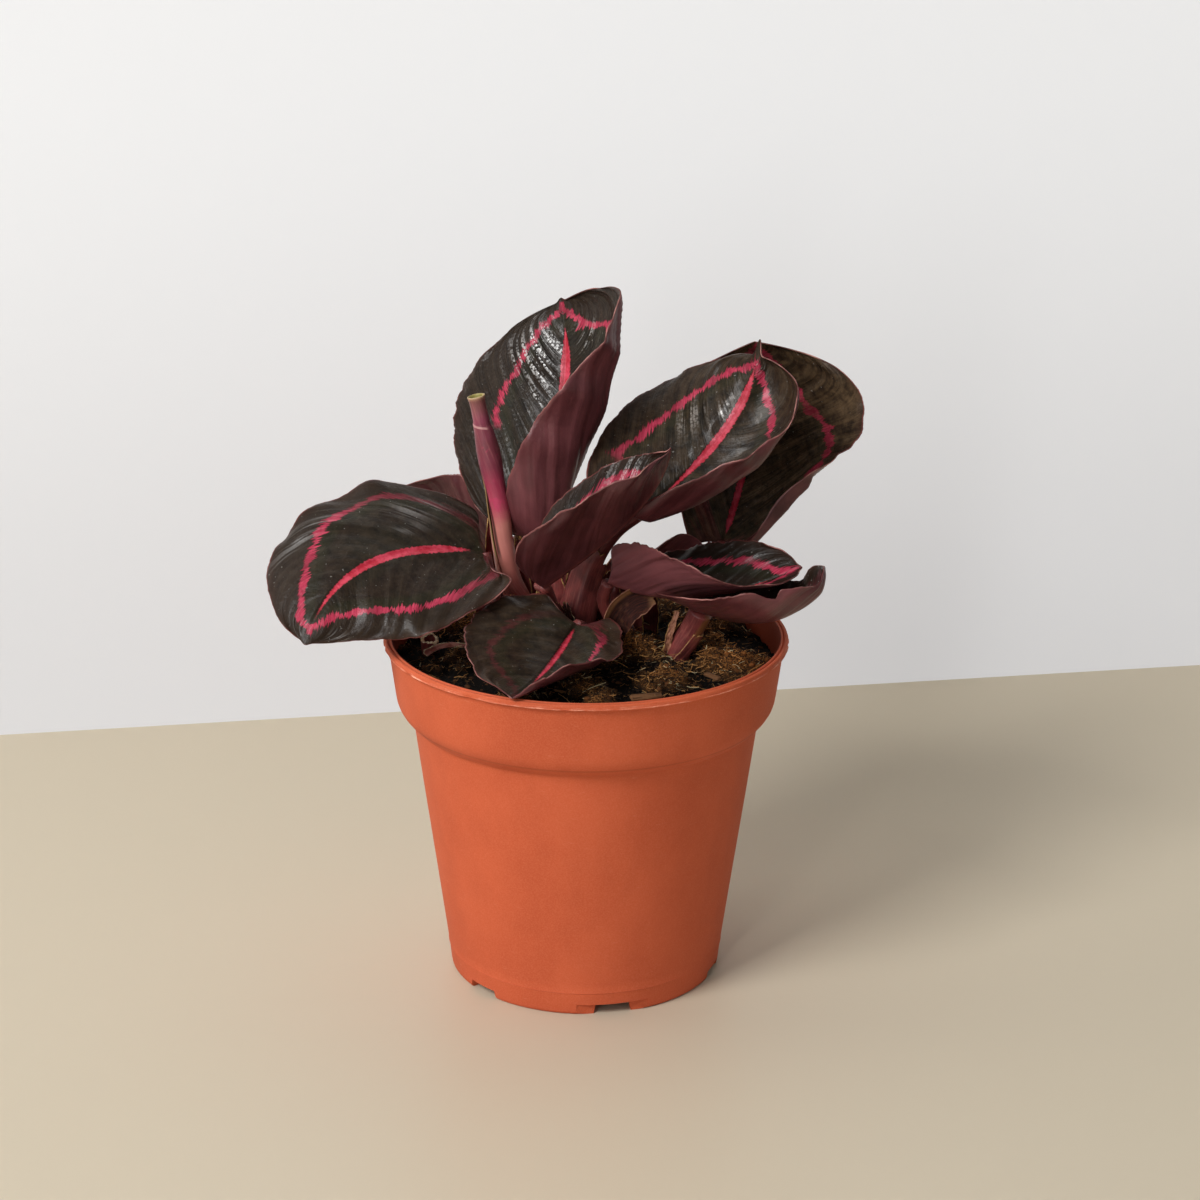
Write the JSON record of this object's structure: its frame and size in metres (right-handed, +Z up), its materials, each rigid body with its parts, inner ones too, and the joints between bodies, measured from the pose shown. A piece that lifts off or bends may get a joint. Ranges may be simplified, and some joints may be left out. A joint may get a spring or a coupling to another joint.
{
  "type": "potted calathea",
  "caption": "Young calathea with dark leaves patterned in pink, some folded or still rolled, on burgundy stems in a mounded potting mix, in a thin terracotta-coloured nursery pot.",
  "frame": {"origin": "middle of the whole plant's outline seen from above, on the surface that the pot stands on; the pot's own axis is 4.5 mm from it along +X", "axes": "+Z up; -Y towards the viewer's side, where the low front leaf lies over the rim; +X to that viewer's right"},
  "size_m": [0.1524, 0.105, 0.1766],
  "materials": {
    "pot_plastic": "matte",
    "soil": "matte",
    "leaf": "satin",
    "stem": "satin",
    "young_leaf": "satin",
    "dry_sheath": "matte"
  },
  "bodies": {
    "root": {"nursery_pot": "pot_plastic", "potting_soil": "soil", "leaf_left": "leaf", "leaf_tall": "leaf", "leaf_right_front": "leaf", "leaf_right_back": "leaf", "leaf_folded": "leaf", "leaf_front": "leaf", "leaf_low_right": "leaf", "leaf_lowest_right": "leaf", "leaf_left_back": "leaf", "leaf_small_back": "leaf", "stem_left": "stem", "stem_tall": "stem", "stem_right_front": "stem", "stem_right_back": "stem", "stem_folded": "stem", "stem_front": "stem", "stem_low_right": "stem", "stem_lowest_right": "stem", "stem_left_back": "stem", "stem_small_back": "stem", "rolled_leaf": "young_leaf", "cut_stump": "stem", "fallen_sheath": "dry_sheath", "dry_sheath": "dry_sheath"}
  },
  "joints": []
}
